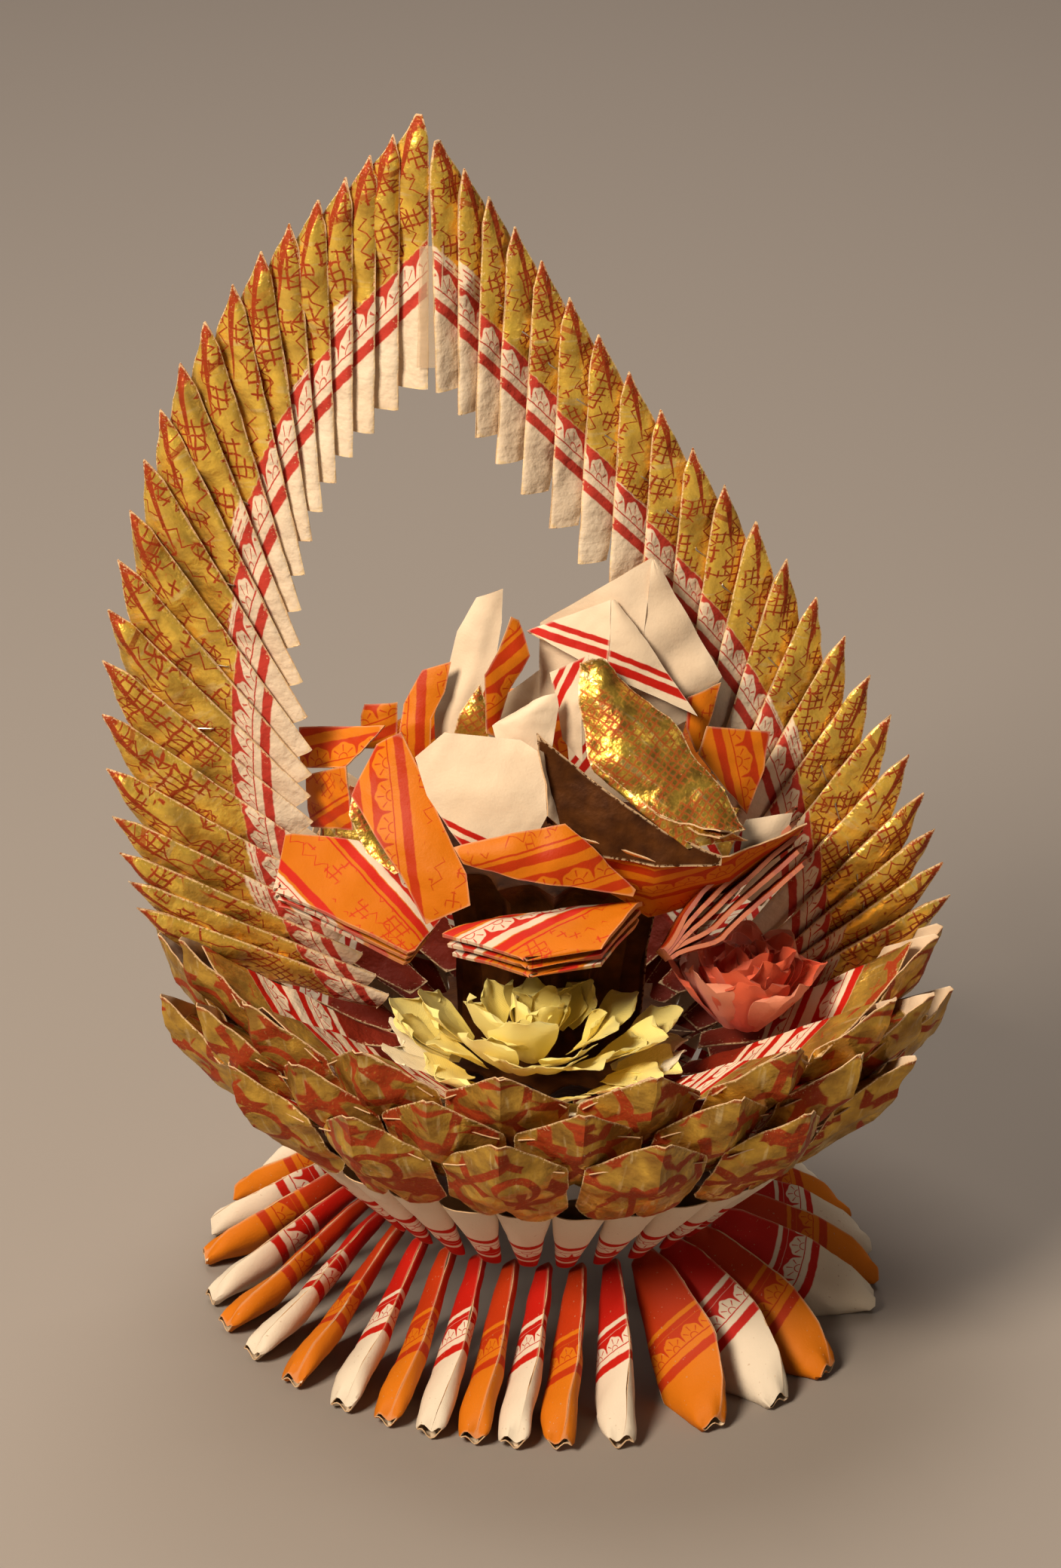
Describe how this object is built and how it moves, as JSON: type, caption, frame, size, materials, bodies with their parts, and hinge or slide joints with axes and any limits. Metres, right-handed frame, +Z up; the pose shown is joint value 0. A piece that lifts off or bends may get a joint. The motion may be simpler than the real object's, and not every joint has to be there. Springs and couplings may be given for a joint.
{
  "type": "folded paper flower basket",
  "caption": "Basket of folded joss paper: ring of splayed foot cones, tiered bowl of gold units, tall arched handle of fanned blades and a large paper rose",
  "frame": {"origin": "on the table, under the middle of the overall width and depth of the basket", "axes": "+Z up; the front of the basket faces -Y; +X is to the right seen from the front; the handle arches along X, turned 8 degrees"},
  "size_m": [0.3358, 0.3184, 0.493],
  "materials": {
    "gold_print_paper": "gold foil laid on printed paper, red-brown strokes, light worn folds",
    "white_print_paper": "matte white paper with red printed stripes",
    "orange_print_paper": "matte orange paper with darker red stripes",
    "cream_print_paper": "matte cream paper with double red stripes",
    "gold_foil_paper": "crumpled gold foil paper with a red printed lattice",
    "yellow_silk": "thin woven polyester petals, ruffled",
    "red_silk": "thin translucent woven polyester petals",
    "staple_steel": "bright drawn wire",
    "clear_tape": "clear adhesive tape, slightly yellow and glossy"
  },
  "bodies": {
    "root": {"apex_tape": "clear_tape", "bowl_base_cones": "white_print_paper", "bowl_tier_1": "gold_print_paper", "bowl_tier_2": "gold_print_paper", "bowl_tier_3": "gold_print_paper", "foot_cones_orange": "orange_print_paper", "foot_cones_white": "white_print_paper", "handle_left_01": "gold_print_paper", "handle_left_02": "gold_print_paper", "handle_left_03": "gold_print_paper", "handle_left_04": "gold_print_paper", "handle_left_05": "gold_print_paper", "handle_left_06": "gold_print_paper", "handle_left_07": "gold_print_paper", "handle_left_08": "gold_print_paper", "handle_left_09": "gold_print_paper", "handle_left_10": "gold_print_paper", "handle_left_11": "gold_print_paper", "handle_left_12": "gold_print_paper", "handle_left_13": "gold_print_paper", "handle_left_14": "gold_print_paper", "handle_left_15": "gold_print_paper", "handle_left_16": "gold_print_paper", "handle_left_17": "gold_print_paper", "handle_left_18": "gold_print_paper", "handle_left_19": "gold_print_paper", "handle_left_20": "gold_print_paper", "handle_left_21": "gold_print_paper", "handle_left_22": "gold_print_paper", "handle_right_01": "gold_print_paper", "handle_right_02": "gold_print_paper", "handle_right_03": "gold_print_paper", "handle_right_04": "gold_print_paper", "handle_right_05": "gold_print_paper", "handle_right_06": "gold_print_paper", "handle_right_07": "gold_print_paper", "handle_right_08": "gold_print_paper", "handle_right_09": "gold_print_paper", "handle_right_10": "gold_print_paper", "handle_right_11": "gold_print_paper", "handle_right_12": "gold_print_paper", "handle_right_13": "gold_print_paper", "handle_right_14": "gold_print_paper", "handle_right_15": "gold_print_paper", "handle_right_16": "gold_print_paper", "handle_right_17": "gold_print_paper", "handle_right_18": "gold_print_paper", "handle_right_19": "gold_print_paper", "handle_right_20": "gold_print_paper", "handle_right_21": "gold_print_paper", "handle_right_22": "gold_print_paper", "red_flower": "red_silk", "rose_gold": "gold_foil_paper", "rose_leaves_front": "orange_print_paper", "rose_leaves_left": "orange_print_paper", "rose_leaves_right": "orange_print_paper", "rose_petals_cream": "cream_print_paper", "rose_petals_orange": "orange_print_paper", "staples": "staple_steel", "yellow_flower": "yellow_silk"}
  },
  "joints": []
}
